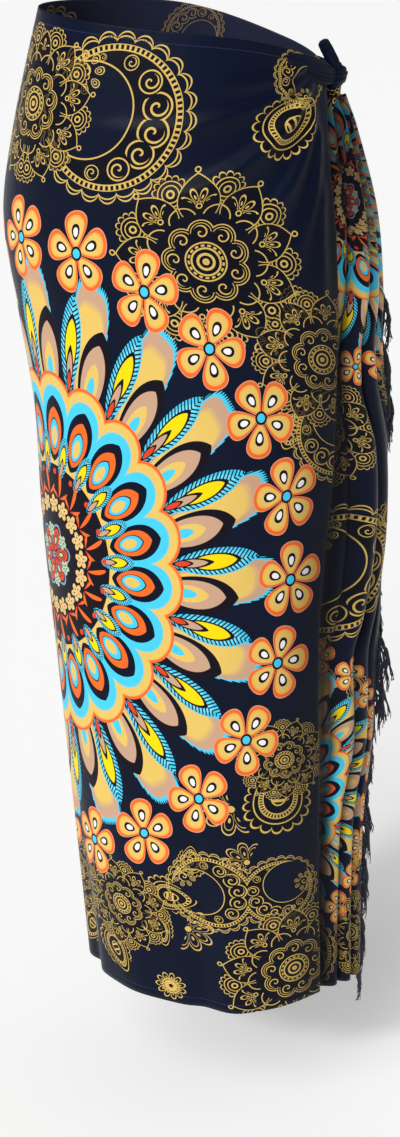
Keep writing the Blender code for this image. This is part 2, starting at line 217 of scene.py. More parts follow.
def run_round(bearing, level):
    """How far each bearing is along the cloth from the middle of the big round, to the slit's side."""
    first, last, step = -30.0, 450.0, 2.0
    top, bottom, rows = 0.02, -1.14, 40
    bearings = np.arange(first, last + step, step)
    speed = metres_per_degree(bearings, np.linspace(top, bottom, rows)[:, None])
    run = np.cumsum((speed[:, 1:] + speed[:, :-1]) / 2, axis=1) * step
    run = np.concatenate([np.zeros((rows, 1)), run], axis=1)
    run = run[:, [int((PRINT_BEARING - first) / step)]] - run
    row = np.clip((top - level) / (top - bottom) * (rows - 1), 0, rows - 1.001)
    column = np.clip((bearing - first) / step, 0, len(bearings) - 1.001)
    i, j = row.astype(int), column.astype(int)
    a, b = row - i, column - j
    upper = run[i, j] * (1 - b) + run[i, j + 1] * b
    lower = run[i + 1, j] * (1 - b) + run[i + 1, j + 1] * b
    return upper * (1 - a) + lower * a


# A crease runs from one place to another in a bow; its height swells and dies along the way.
KNOT_CREASES = table(
    "bearing level to_bearing to_level bow height width sharpness",
    (31, -0.06, 118, -0.182, 0.03, 0.0048, 0.015, 0.5),
    (30, -0.053, 137, -0.1, 0.02, 0.0024, 0.011, 0.4),
    (33, -0.075, 76, -0.215, 0.022, 0.0036, 0.012, 0.4),
    (34, -0.095, 56, -0.25, 0.012, 0.0032, 0.009, 0.3),
    (32, -0.047, 84, -0.055, 0.006, 0.0018, 0.007, 0.3),
    (37, -0.15, 47, -0.33, 0.006, 0.0022, 0.009, 0),
)


def crease_push(bearing, level, run):
    """The creases that the knot pulls in the outer layer, each steeper on its upper side."""
    push = 0.0
    down = -level
    for crease in KNOT_CREASES:
        levels = np.array([crease.level, crease.to_level])
        ends = np.stack([run_round(np.array([crease.bearing, crease.to_bearing]), levels), -levels], axis=-1)
        start = ends[0]
        way = ends[1] - start
        length = np.hypot(*way)
        ahead = way / length
        aside = np.array([ahead[1], -ahead[0]])
        along = ((run - start[0]) * ahead[0] + (down - start[1]) * ahead[1]) / length
        across = (run - start[0]) * aside[0] + (down - start[1]) * aside[1]
        across = across - crease.bow * np.sin(math.pi * np.clip(along, 0.0, 1.0))
        width = crease.width * (0.45 + 0.9 * np.clip(along, 0.0, 1.0))
        width = width * np.where(across < 0.0, 1.0 - 0.55 * crease.sharpness, 1.0 + 0.55 * crease.sharpness)
        swell = ease(-0.02, 0.16, along) * (1.0 - ease(0.45, 1.0, along))
        push = push + 2.1 * crease.height * swell * np.exp(-((across / width) ** 2))
    return push


def soft_waves(run, down):
    """The slack that thin cloth keeps: long low waves, most of them upright, from fixed sums of sines."""
    wave = np.sin(23.0 * run + 2.1 * down + 0.6) * 0.5
    wave = wave + np.sin(41.0 * run - 3.4 * down + 2.2) * 0.26
    wave = wave + np.sin(11.0 * run + 9.0 * down + 4.0) * 0.34
    wave = wave + np.sin(64.0 * run + 5.3 * down + 1.3) * 0.12
    return wave


def outer_offset(bearing):
    """The outer layer lies on the body, and lifts over the inner end and the fall near the slit."""
    return LIP_STAND_OFF * (1.0 - ease(72.0, 112.0, bearing))


def levels_down(rim, hem, rows, crowding=1.2):
    share = np.linspace(0.0, 1.0, rows)[:, None] ** crowding
    return rim + (hem - rim) * share


def lay_print(mesh, place):
    """Gives each corner of a mesh its point's place in the print."""
    corner = np.empty(len(mesh.loops), dtype=np.int32)
    mesh.loops.foreach_get("vertex_index", corner)
    layer = mesh.uv_layers[0] if mesh.uv_layers else mesh.uv_layers.new()
    layer.name = "Print"
    layer.data.foreach_set("uv", place[corner].astype(np.float32).reshape(-1))


def cloth_sheet(name, points, place, deep=0.0):
    """A sheet on rows of points from its rim down, with its print's place in metres as the UV map.

    Deep is 0 to 1, and says how far down in the gathers the cloth lies, where its colour is darkened as
    painted shade."""
    rows, columns = points.shape[:2]
    bpy.ops.mesh.primitive_grid_add(x_subdivisions=columns - 1, y_subdivisions=rows - 1, size=2.0)
    sheet = bpy.context.object
    sheet.name = name
    mesh = sheet.data
    mesh.name = name
    start = np.empty(len(mesh.vertices) * 3)
    mesh.vertices.foreach_get("co", start)
    start = start.reshape(-1, 3)
    column = np.rint((start[:, 0] + 1.0) / 2.0 * (columns - 1)).astype(int)
    row = np.rint((1.0 - start[:, 1]) / 2.0 * (rows - 1)).astype(int)
    mesh.vertices.foreach_set("co", points[row, column].reshape(-1))
    lay_print(mesh, place[row, column])
    # Painted shade: the deep attribute darkens the cloth's colour in its material.
    deep = np.broadcast_to(deep, (rows, columns))[row, column]
    mesh.attributes.new("deep", "FLOAT", "POINT").data.foreach_set("value", deep.astype(np.float32))
    mesh.materials.append(face)
    mesh.materials.append(reverse)
    mesh.update()
    bpy.ops.object.shade_smooth()
    wall = sheet.modifiers.new("Thickness", "SOLIDIFY")
    wall.thickness = CLOTH_THICKNESS
    wall.offset = 0.0
    wall.use_even_offset = True
    wall.material_offset = 1
    wall.material_offset_rim = 0
    bpy.ops.object.modifier_apply(modifier=wall.name)
    sheet.select_set(False)
    return sheet


class Field:
    """A value over the cloth, so that the print's maths reads as plain expressions."""

    tree = None

    def __init__(self, socket):
        self.socket = socket

    @classmethod
    def node(cls, kind, settings=None, inputs=None, output=0):
        """Any node: its settings first, then the values or links of its sockets."""
        made = cls.tree.nodes.new("ShaderNode" + kind)
        for name, setting in (settings or {}).items():
            if name == "interpolation":
                made.color_ramp.interpolation = setting
            elif name == "stops":
                ramp = made.color_ramp
                for position, colour in setting[2:]:
                    ramp.elements.new(position)
                for element, (position, colour) in zip(ramp.elements, setting):
                    element.position = position
                    element.color = (*colour, 1.0)
            else:
                setattr(made, name, setting)
        for name, value in (inputs or {}).items():
            if isinstance(value, Field):
                cls.tree.links.new(value.socket, made.inputs[name])
            else:
                made.inputs[name].default_value = value
        return cls(made.outputs[output])

    def maths(self, operation, *others):
        inputs = {0: self}
        inputs.update({place + 1: other for place, other in enumerate(others)})
        return Field.node("Math", {"operation": operation}, inputs)

    def __add__(self, other):
        return self.maths("ADD", other)

    def __sub__(self, other):
        return self.maths("SUBTRACT", other)

    def __mul__(self, other):
        return self.maths("MULTIPLY", other)

    def __truediv__(self, other):
        return self.maths("DIVIDE", other)

    def __abs__(self):
        return self.maths("ABSOLUTE")

    def __lt__(self, other):
        return self.maths("LESS_THAN", other)

    def __gt__(self, other):
        return self.maths("GREATER_THAN", other)

    def times_plus(self, times, plus):
        return self.maths("MULTIPLY_ADD", times, plus)

    def sine(self):
        return self.maths("SINE")

    def fract(self):
        return self.maths("FRACT")

    def or_else(self, *others):
        lit = self
        for other in others:
            lit = lit.maths("MAXIMUM", other)
        return lit

    def line(self, middle, half):
        """1 where the value is within half of middle."""
        return self.maths("COMPARE", middle, half)

    def mixed(self, other, share):
        """This colour taken towards another one by a share of 0 to 1."""
        if isinstance(other, tuple):
            other = (*other, 1.0)
        return Field.node("Mix", {"data_type": "RGBA"}, {0: share, 6: self, 7: other}, output=2)

    def parts(self):
        """The x and the y of a place."""
        x = Field.node("SeparateXYZ", {}, {0: self})
        return x, Field(x.socket.node.outputs[1])

    def into(self, shader, socket):
        shader.id_data.links.new(self.socket, shader.inputs[socket])


def ink(red, green, blue):
    """A printed colour, from its shades of 0 to 255 to the light that it sends back."""
    shades = [shade / 255.0 for shade in (red, green, blue)]
    return tuple(s / 12.92 if s <= 0.04045 else ((s + 0.055) / 1.055) ** 2.4 for s in shades)


def bands(value, *rings):
    """Rings of colour from the middle out. Each has where it ends and its colours at both sides."""
    stops = []
    start = 0.0
    for ring in rings:
        stops.append((start, ring[1]))
        stops.append((ring[0] - 0.004, ring[-1]))
        start = ring[0]
    return Field.node("ValToRGB", {"stops": stops}, {0: value})


def painted(picture, shape, *rings, where=None):
    """The picture with a shape over it, in rings of colour."""
    return picture.mixed(bands(shape, *rings), shape < 1.0 if where is None else where)


def round_about(x, y):
    """The distance and the turn of a place from a motif's middle."""
    return (x * x + y * y).maths("SQRT"), y.maths("ARCTAN2", x)


def turn_in_part(turn, count, start=0.0):
    """The turn from the middle of the part that a place lies in, where a round has equal parts."""
    share = turn.times_plus(count / FULL_TURN, 0.5 + start).fract()
    return share.times_plus(FULL_TURN / count, -math.pi / count)


def repeated(distance, turn, count, start=0.0):
    """Folds a round of equal parts into one: how far out a place is along its part, and how far aside."""
    aside = turn_in_part(turn, count, start)
    return distance * aside.maths("COSINE"), distance * aside.sine()


def curl(distance, turn, tightness, weight=0.24):
    """1 on the line of a spiral."""
    return distance.times_plus(tightness, turn * (1 / FULL_TURN)).fract() < weight


def arches(turn, count):
    """0 at the foot of each of a row of round arches, and 1 at its top."""
    return abs((turn * count).sine()).maths("SQRT")


def petal(along, aside, base, tip, half_width, nesting=0.15, egg=0.0, point=0.0):
    """0 at a petal's seed and 1 on its outline. Its rings crowd towards the base, and egg makes it
    broader at its tip. With point, it ends in a point."""
    length = tip - base
    seed = base + length * (1 - nesting) / 2
    reach = length * (1 + nesting) / 2 * (1 - nesting)
    squeeze = length / 2 * math.sqrt(1 - nesting**2) / half_width
    ahead = along - seed
    beside = aside * squeeze
    if egg:
        beside = beside / ahead.times_plus(egg / length, 1.0).maths("MAXIMUM", 0.1)
    if point:
        beside = abs(beside)
        slope = beside * point
        beside = beside * (1 - 0.5 * point)
    far = (ahead * ahead + beside * beside).maths("SQRT")
    if nesting:
        far = ahead.times_plus(-nesting, far)
    if point:
        far = far + slope
    return far * (1 / reach)


NAVY = ink(6, 13, 33)
NIGHT = ink(17, 11, 24)
GOLDEN = ink(224, 188, 98)
SAND = ink(194, 156, 128)
YELLOW = ink(242, 212, 10)
CYAN = ink(70, 198, 232)
ORANGE = ink(232, 104, 36)
RED_ORANGE = ink(216, 66, 36)
MINT = ink(176, 200, 168)
WHITE = ink(244, 238, 240)
GOLD = ink(208, 175, 92)
BEHIND_GOLD = ink(9, 9, 20)


def barbed_leaf(picture, along, aside, base, tip, half_width, barb):
    """A leaf with a bright blade, a pale leaf in it, and short barbs all along its edge."""
    shape = petal(along, aside, base, tip, half_width, nesting=0.05, egg=0.25, point=0.28)
    barbs = (abs(aside).times_plus(-0.9, along) * (1 / barb)).fract() > 0.4
    edge = barbs.times_plus(-0.07, shape) < 0.93
    picture = painted(picture, shape, (0.54, YELLOW), (0.61, NIGHT), (1.0, NAVY), where=edge)
    on_barbs = barbs * edge * (shape > 0.64)
    picture = painted(picture, shape, (0.8, CYAN, ink(120, 214, 236)), (1.0, CYAN), where=on_barbs)
    length = tip - base
    inner = petal(along, aside, base + 0.02 * length, base + 0.5 * length, 0.38 * half_width, point=0.3)
    return painted(picture, inner, (0.74, SAND), (1.0, NIGHT))


def big_round(x, y, ground):
    """The many-petalled round. Each layer is laid over the one before it, from the feathers in."""
    distance, turn = round_about(x, y)

    # Twenty feathers with toothed tips, each with a pointed eye, and barbed leaves between them.
    along, aside = repeated(distance, turn, 20, 0.606)
    side_on = (along - 0.18).times_plus(0.16, aside)
    ahead = (along - 0.205) * (1 / 0.138)
    beside = side_on / along.times_plus(0.09, 0.001)
    ahead = ahead * ahead
    beside = beside * beside
    shape = (ahead * ahead + beside * beside).maths("POWER", 0.25)
    toothed = (aside * 2100.0).sine().times_plus(0.018, shape) < 1.0
    feather = ((0.78, GOLDEN), (0.86, GOLDEN, SAND), (0.955, SAND), (1.0, CYAN))
    picture = painted(ground, shape, *feather, where=toothed)
    shape = petal(along, aside, 0.175, 0.297, 0.0225, nesting=0.25, egg=0.7, point=0.22)
    picture = painted(picture, shape, (0.27, CYAN), (0.48, GOLDEN), (0.78, SAND), (1.0, NIGHT))
    between, off = repeated(distance, turn, 20, 0.106)
    picture = barbed_leaf(picture, between, off, 0.206, 0.322, 0.0185, 0.006)
    seed = petal(between, off, 0.206, 0.236, 0.0048, point=0.3)
    picture = painted(picture, seed, (0.75, RED_ORANGE), (1.0, NIGHT))

    # Twenty full petals over the feathers' feet, and small leaves inside their ring.
    shape = petal(along, aside, 0.106, 0.222, 0.0345, nesting=0.15, egg=0.6)
    rim = ((0.74, CYAN), (0.78, CYAN, GOLDEN), (0.92, GOLDEN), (0.96, GOLDEN, ORANGE), (1.0, ORANGE))
    picture = painted(picture, shape, *rim)
    shape = petal(along, aside, 0.116, 0.194, 0.0215, nesting=0.3, egg=0.5, point=0.2)
    picture = painted(picture, shape, (0.3, GOLDEN), (0.46, CYAN), (0.5, NIGHT), (0.74, ORANGE), (1.0, NAVY))
    picture = picture.mixed(NIGHT, distance < 0.112)
    picture = barbed_leaf(picture, between, off, 0.098, 0.152, 0.0115, 0.0036)

    # The dark middle: bursts of strokes with dots between them, florets, and a six-petalled flower.
    along, aside = repeated(distance, turn, 18, 0.5)
    out, spin = round_about(along - 0.074, aside)
    strokes = out.times_plus(38.0, spin * 5.6).maths("COSINE") > out.times_plus(24.0, 0.22)
    strokes = strokes * out.line(0.0175, 0.0155) * (abs(spin) < 1.35)
    picture = painted(picture, distance * 10.0, (0.78, RED_ORANGE), (1.0, ORANGE), where=strokes)
    between, off = repeated(distance, turn, 18, 0.0)
    picture = picture.mixed(RED_ORANGE, round_about(between - 0.104, off)[0] < 0.0036)
    ahead, beside = repeated(*round_about(between - 0.064, off), 5, 0.2)
    shape = petal(ahead, beside, -0.001, 0.0115, 0.0034, egg=0.5)
    picture = painted(picture, shape, (0.22, NIGHT), (1.0, ink(222, 186, 122)))
    along, aside = repeated(distance, turn, 6, 0.4)
    shape = petal(along, aside, 0.001, 0.042, 0.011, nesting=0.1, egg=0.6, point=0.1)
    rings = ((0.24, MINT), (0.36, NIGHT), (0.44, ORANGE), (0.5, NIGHT), (0.74, RED_ORANGE), (0.86, NIGHT))
    picture = painted(picture, shape, *rings, (1.0, ink(122, 152, 180)))
    between, off = repeated(distance, turn, 6, 0.9)
    ahead, beside = repeated(*round_about(between - 0.031, off), 5, 0.2)
    shape = petal(ahead, beside, -0.001, 0.0092, 0.003, egg=0.5)
    picture = painted(picture, shape, (0.3, NIGHT), (1.0, MINT))

    # Twenty-three five-petalled flowers round the whole.
    along, aside = repeated(distance, turn, 23, 0.888)
    out, spin = round_about(along - 0.367, aside)
    ahead, beside = repeated(out, spin, 5, 0.25)
    shape = petal(ahead, beside, 0.003, 0.046, 0.0138, nesting=0.1, egg=1.3)
    rings = ((0.24, WHITE), (0.4, NIGHT), (0.64, GOLDEN), (0.8, GOLDEN, ink(243, 160, 70)))
    picture = painted(picture, shape, *rings, (0.96, ORANGE, ink(232, 108, 48)), (1.0, ink(230, 150, 120)))
    return painted(picture, out * 100.0, (0.52, CYAN), (0.78, NIGHT), (1.0, NIGHT), where=out < 0.0078)


def lines(value, *strips):
    """1 on each strip of values, and 0 between them."""
    stops = [(0.0, (0.0, 0.0, 0.0))]
    for low, high in strips:
        stops.append((low, (1.0, 1.0, 1.0)))
        stops.append((high, (0.0, 0.0, 0.0)))
    return Field.node("ValToRGB", {"stops": stops, "interpolation": "CONSTANT"}, {0: value})


def gold_lotus(x, y):
    """Gold lines of a round lotus, one across its radius: a ringed eye, curls, lobes with sprigs in
    them, nine pointed petals, and a fan behind each gap. Gives the lines and the dark inside."""
    distance, turn = round_about(x, y)
    gold = lines(distance, (0.001, 0.035), (0.065, 0.09), (0.13, 0.15), (0.195, 0.21))
    gold = gold.or_else(((turn * 17.0).sine() > -0.2) * distance.line(0.172, 0.01))

    along, aside = repeated(distance, turn, 9, 0.5)
    out, spin = round_about(along - 0.31, aside)
    rim = lines(out, (0.094, 0.105), (0.124, 0.135)) * (along > 0.31)
    gold = gold.or_else(curl(out, spin, 15.0, 0.22) * (out < 0.078), rim)
    out, spin = round_about(along - 0.6, aside)
    ahead, beside = repeated(out, spin, 9, 0.5)
    drop = petal(ahead, beside, 0.04, 0.2, 0.03, nesting=0.3, egg=0.6)
    gold = gold.or_else(out.line(0.026, 0.007), lines(drop, (0.001, 0.3), (0.78, 1.0)) * (abs(spin) < 1.04))
    tip = round_about(along - 0.965, aside)[0]
    ogee = petal(along, aside, 0.36, 0.935, 0.265, nesting=0.1, egg=0.1, point=0.5)
    gold = gold.or_else(tip.line(0.026, 0.007), ogee.line(0.975, 0.022) * (distance > 0.52))

    between, off = repeated(distance, turn, 9, 0.0)
    out = round_about(between - 0.48, off)[0]
    gold = gold.or_else(out.line(0.136, 0.007) * (between > 0.49) * (ogee < 0.96).or_else(between < 0.61))
    out, spin = round_about(between - 0.79, off)
    scallop = arches(spin, 7.0).times_plus(-0.045, out)
    fan = lines(out, (0.02, 0.04), (0.075, 0.087), (0.118, 0.13)).or_else(scallop.line(0.14, 0.007))
    return gold.or_else(fan * (ogee > 1.0)), (ogee < 0.98).or_else(scallop < 0.14, distance < 0.5)


def gold_crescent(x, y):
    """Gold lines of a crescent that opens to +x, one across its radius: a row of curls between two
    rims, a laddered band, and looped scallops round the outside."""
    distance, turn = round_about(x, y)
    hollow = round_about(x - 0.36, y)[0]
    body = hollow > 0.655
    gold = lines(distance, (0.905, 0.922), (0.985, 1.005)) * body
    rungs = ((turn * 78.0).sine() > 0.15) * distance.line(0.953, 0.034) * body
    gold = gold.or_else(rungs, hollow.line(0.665, 0.011) * (distance < 0.99))

    aside_turn = turn_in_part(turn, 12)
    half = (turn - aside_turn).maths("COSINE").times_plus(-0.125, 0.12).maths("MAXIMUM", 0.02)
    along = distance * aside_turn.maths("COSINE")
    aside = distance * aside_turn.sine()
    out, spin = round_about(along - 0.895 + half, aside)
    size = out / half
    curls = (curl(size, spin, 1.7) * (size < 0.64)).or_else(size.line(0.84, 0.06))
    gold = gold.or_else(curls * body * (distance < 0.9))

    wave = arches(turn, 12.5)
    outer = wave.times_plus(-0.135, distance)
    inner = wave.times_plus(-0.075, distance)
    scallops = outer.line(1.03, 0.011).or_else(inner.line(1.03, 0.01)) * (hollow > 0.7) * (distance > 1.0)
    out, spin = round_about(x - 0.6, y - 0.46)
    ahead, beside = repeated(out, spin, 8, 0.5)
    loops = petal(ahead, beside, 0.15, 0.3, 0.055, egg=0.4)
    loops = lines(loops, (0.3, 0.5), (0.8, 1.0))
    return gold.or_else(scallops, curl(out, spin, 9.0) * (out < 0.15), loops), body * (distance < 0.96)


def gold_drop(x, y):
    """Gold lines of a drop that points to +x, one unit long, with scallops round its broad end."""
    shape = petal(x, y, 0.02, 0.9, 0.29, nesting=0.15, egg=-0.75)
    distance, turn = round_about(x - 0.36, y)
    gold = lines(shape, (0.28, 0.33), (0.6, 0.64), (0.76, 0.8), (0.95, 1.0))
    ladder = ((turn * 38.0).sine() > 0.15) * shape.line(0.7, 0.06)
    veins = ((x * 60.0).sine() > 0.45) * (shape < 0.28)
    outer = arches(turn, 9.5).times_plus(-0.22, shape)
    return gold.or_else(ladder, veins, outer.line(1.1, 0.035) * (x < 0.72)), outer < 1.1


def gold_sprig(x, y):
    """Gold lines of a sprig of five loops, one across its radius."""
    distance, turn = round_about(x, y)
    ahead, beside = repeated(distance, turn, 9, 0.5)
    shape = petal(ahead, beside, 0.08, 1.0, 0.19, nesting=0.3, egg=0.7)
    gold = lines(shape, (0.001, 0.2), (0.62, 0.68), (0.9, 1.0)) * (abs(turn) < 1.75)
    return gold.or_else(distance < 0.12), shape < 0.0


def gold_daisy(x, y):
    """Gold lines of a small daisy, one across its radius."""
    distance, turn = round_about(x, y)
    ahead, beside = repeated(distance, turn, 11, 0.5)
    shape = petal(ahead, beside, 0.3, 1.0, 0.17, nesting=0.1, egg=0.5)
    gold = lines(shape, (0.001, 0.25), (0.78, 1.0)).or_else(lines(distance, (0.14, 0.42), (0.48, 0.56)))
    return gold, shape < 1.0


def nearest(place, spots):
    """The place within the nearest of a motif's spots, so that one motif serves them all. A spot's share
    makes its motif narrower."""
    best = None
    for spot in spots:
        local = Field.node(
            "Mapping",
            {"vector_type": "TEXTURE"},
            {
                "Vector": place,
                "Location": (spot.across, spot.down, 0.0),
                "Rotation": (0.0, 0.0, math.radians(spot.lean)),
                "Scale": (spot.radius * getattr(spot, "share", 1.0), spot.radius, 1.0),
            },
        )
        far = Field.node("VectorMath", {"operation": "LENGTH"}, {0: local}, output=1)
        if best is None:
            best, least = local, far
            continue
        closer = far < least
        best = Field.node("Mix", {"data_type": "VECTOR"}, {0: closer, 4: best, 5: local}, output=1)
        least = far.maths("MINIMUM", least)
    return best.parts()


SPOT = "across down radius lean"
BIG_ROUNDS = table(
    "across down radius lean share",
    (-0.012, 0.573, 0.981, 15.8, 0.746),
    (-0.6, 0.3, 0.6, 10, 1),
    (-0.6, 0.85, 0.6, -10, 1),
    (10.056, 0.122, 0.48, 4, 1),
    (9.976, 0.806, 0.5, 6, 1),
)
LOTUSES = table(
    SPOT,
    (0, 0.087, 0.08, 5),
    (0.207, 0.217, 0.095, 0),
    (0.24, 1.052, 0.086, 12),
    (0.048, 0.985, 0.06, 0),
    (0.44, 0.575, 0.085, 0),
    (0.78, 0.575, 0.095, 0),
    (0.405, 0.165, 0.06, 0),
    (0.312, 0.318, 0.076, 20),
    (0.39, 1, 0.08, 0),
    (0.244, 0.776, 0.052, 30),
    (10.024, 0.368, 0.07, 0),
    (10.13, 1, 0.06, 0),
    (10.17, 0.3, 0.05, 0),
)
CRESCENTS = table(
    SPOT,
    (0.097, 0.087, 0.071, 190),
    (0.322, 0.4, 0.048, -80),
    (0.277, 0.027, 0.029, 35),
    (0.228, 0.944, 0.04, -48),
    (0.156, 0.942, 0.044, 170),
    (0.48, 0.06, 0.06, 30),
    (0.78, 0.05, 0.07, 150),
    (10.045, 0.535, 0.068, 205),
    (10.17, 0.15, 0.045, 200),
    (10.02, 1.02, 0.05, 60),
)
DROPS = table(
    SPOT,
    (0.25, 0.098, 0.076, -46),
    (0.231, 0.858, 0.094, -84),
    (0.085, 0.955, 0.06, 4),
    (0.134, 0.922, 0.04, -84),
    (0.086, 0.985, 0.046, 72),
    (0.02, 1.03, 0.06, 60),
    (0.282, 0.372, 0.052, 118),
    (0.28, 0.25, 0.04, 30),
    (0.42, 0.3, 0.07, 40),
    (10.1, 0.69, 0.05, -120),
    (10.11, 0.5, 0.05, -80),
)
SPRIGS = table(
    SPOT,
    (0.184, 0.832, 0.034, 160),
    (0.126, 0.996, 0.03, 10),
    (0.272, 0.3, 0.03, 190),
    (0.196, 0.9, 0.026, 200),
    (0.42, 0.42, 0.035, 90),
    (10.06, 0.668, 0.022, -90),
)
DAISIES = table(
    SPOT,
    (0.1, 1.078, 0.018, 0),
    (0.345, 0.47, 0.02, 0),
    (0.335, 0.69, 0.02, 0),
    (0.5, 0.7, 0.022, 0),
    (10.13, 0.9, 0.02, 0),
)


def motif_group(draw, inputs, outputs):
    """A motif drawn once as a group of nodes, so that the print can use it as one node."""
    group = bpy.data.node_groups.new(draw.__name__, "ShaderNodeTree")
    for way, labels in (("INPUT", inputs), ("OUTPUT", outputs)):
        for label in labels:
            kind = "NodeSocketColor" if label in ("Ground", "Colour") else "NodeSocketFloat"
            group.interface.new_socket(label, in_out=way, socket_type=kind)
    outside = Field.tree
    Field.tree = group
    start = group.nodes.new("NodeGroupInput")
    drawn = draw(*[Field(start.outputs[label]) for label in inputs])
    end = group.nodes.new("NodeGroupOutput")
    for label, value in zip(outputs, drawn if isinstance(drawn, tuple) else (drawn,)):
        value.into(end, label)
    Field.tree = outside
    return group


ROUND_GROUP = motif_group(big_round, ("X", "Y", "Ground"), ("Colour",))
GOLD_GROUPS = [
    (motif_group(draw, ("X", "Y"), ("Lines", "Dark")), spots)
    for draw, spots in (
        (gold_daisy, DAISIES),
        (gold_sprig, SPRIGS),
        (gold_drop, DROPS),
        (gold_crescent, CRESCENTS),
        (gold_lotus, LOTUSES),
    )
]


def sarong_print():
    """The print: navy, then each gold motif over those before it, then the many-petalled rounds."""
    cloth_place = Field.node("UVMap", {"uv_map": "Print"})
    mirrored = Field.node("VectorMath", {"operation": "ABSOLUTE"}, {0: cloth_place})
    fade = Field.node("TexNoise", {}, {"Vector": cloth_place, "Scale": 9.0, "Detail": 3.0})
    colour = bands(fade, (0.5, ink(4, 12, 30), ink(7, 16, 37)), (1.0, ink(7, 16, 37), ink(13, 22, 47)))
    for group, spots in GOLD_GROUPS:
        x, y = nearest(mirrored, spots)
        motif = Field.node("Group", {"node_tree": group}, {"X": x, "Y": y})
        dark = Field(motif.socket.node.outputs["Dark"])
        colour = colour.mixed(BEHIND_GOLD, dark * 0.85).mixed(GOLD, motif)
    x, y = nearest(cloth_place, BIG_ROUNDS)
    return Field.node("Group", {"node_tree": ROUND_GROUP}, {"X": x, "Y": y, "Ground": colour})


PRINT = motif_group(sarong_print, (), ("Colour",))


PALE = ink(58, 61, 84)
STITCH = ink(44, 48, 84)
# Painted shade: the near-black that the cloth's colour is taken towards deep in its folds and gathers.
PAINTED_FOLD_SHADE = ink(5, 5, 14)
HEM_WIDTH = 0.011
STITCHES_PER_METRE = 310.0
HALF_STITCH_WIDTH = 0.0004
WEAVE_PER_METRE = 9000.0


def new_material(name, **finish):
    """A material and its shader, to which the expressions that follow add their nodes."""
    material = bpy.data.materials.new(name)
    material.use_nodes = True
    Field.tree = material.node_tree
    shader = Field.tree.nodes["Principled BSDF"]
    for socket, value in finish.items():
        shader.inputs[socket.replace("_", " ")].default_value = value
    return material, shader


def printed_cloth(name, wash, roughness):
    """Printed rayon: the print, washed out where it shows through on the reverse, a soft crumple, and
    the weave."""
    material, shader = new_material(
        name, Roughness=roughness, Sheen_Weight=0.03, Sheen_Roughness=0.45, Specular_IOR_Level=0.08
    )
    colour = Field.node("Group", {"node_tree": PRINT})
    if wash:
        colour = colour.mixed(PALE, wash)
    place = Field.node("UVMap", {"uv_map": "Print"})
    crumple = Field.node("TexNoise", {}, {"Vector": place, "Scale": 26.0, "Detail": 3.0})
    x, y = place.parts()
    # Both long edges are turned in and sewn 11 mm from the edge, with stitches 3 mm long.
    from_seam = abs(y - 0.5 * CLOTH_LENGTH) - (0.5 * CLOTH_LENGTH - HEM_WIDTH)
    stitch = (abs(from_seam) < HALF_STITCH_WIDTH) * ((x * STITCHES_PER_METRE).fract() < 0.7)
    # Painted shade: the print is darkened towards the fold-shade colour by the sheet's deep attribute.
    deep = Field.node("Attribute", {"attribute_name": "deep"}, output=2)
    colour.mixed(STITCH, stitch).mixed(PAINTED_FOLD_SHADE, deep).into(shader, "Base Color")
    weave = (x * WEAVE_PER_METRE).sine() * (y * WEAVE_PER_METRE).sine()
    height = weave.times_plus(0.012, crumple) + (from_seam > 0.0) * 0.12
    bump = Field.node("Bump", {}, {"Height": height, "Strength": 0.6, "Distance": 0.002})
    bump.into(shader, "Normal")
    return material


face = printed_cloth("printed_rayon_face", 0.0, 0.38)
reverse = printed_cloth("printed_rayon_reverse", 0.5, 0.6)

FRONT_SLACK = 0.0011
SLACK_FROM_TO = (0.16, 0.55)
ROWS, RUN_COLUMNS, TURN_COLUMNS = 236, 128, 10
share = np.linspace(0.0, 1.0, RUN_COLUMNS)[None, :]
slit_guess = side("slit", np.linspace(-0.06, -1.11, ROWS)[:, None])
bearing = SEAM_BEARING + (slit_guess - SEAM_BEARING) * share
rim = long_edge("rim", bearing)
hem = long_edge("hem", bearing)
level = levels_down(rim, hem, ROWS)
slit = side("slit", level[:, -1:])
bearing = SEAM_BEARING + (slit - SEAM_BEARING) * share
run = run_round(bearing, level)
down = (rim - level) / (rim - hem) * CLOTH_LENGTH
push = crease_push(bearing, level, run) * ease(0.0, 12.0, bearing - KNOT_BEARING)
slack = ease(*SLACK_FROM_TO, down) * ease(0.0, 25.0, SEAM_BEARING - bearing)
push = push + FRONT_SLACK * soft_waves(run, down) * slack
outer = skin(bearing, level, outer_offset(bearing) + push)
turn = np.radians(np.linspace(0.0, 180.0, TURN_COLUMNS + 1)[None, 1:])
back = LIP_RETURN * np.linspace(0.0, 1.0, 6)[None, 1:]
ahead = np.concatenate([LIP_RADIUS * np.sin(turn), -back], axis=1)
drop = np.concatenate([LIP_RADIUS * (1 - np.cos(turn)), np.full_like(back, 2 * LIP_RADIUS)], axis=1)
lip_level = np.broadcast_to(level[:, -1:], (ROWS, ahead.shape[1]))
lip_bearing = slit - ahead / metres_per_degree(slit, lip_level)
lip = skin(lip_bearing, lip_level, outer_offset(slit) - drop)
pushed = outer[:, -1:] - skin(slit, level[:, -1:], outer_offset(slit))
lip += pushed * (1 - drop / (2 * LIP_RADIUS))[..., None]
lip_run = run[:, -1:] + np.concatenate([LIP_RADIUS * turn, LIP_RADIUS * math.pi + back], axis=1)
lip_down = np.broadcast_to(down[:, -1:], lip_run.shape)
points = np.concatenate([outer, lip], axis=1)
place = np.stack([np.concatenate([run, lip_run], axis=1), np.concatenate([down, lip_down], axis=1)], axis=-1)
past = np.concatenate([bearing - slit, np.zeros_like(lip_bearing)], axis=1)
# Painted shade: the outer layer's colour is darkened beside the slit and on its turned lip, fading in between
# 0.1 m and 0.24 m down.
deep = 0.55 * (1.0 - ease(0.0, 22.0, past)) * ease(0.1, 0.24, np.concatenate([-level, -lip_level], axis=1))
front = cloth_sheet("front_cloth", points, place, deep)
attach(front, "root")
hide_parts("wrap_front")

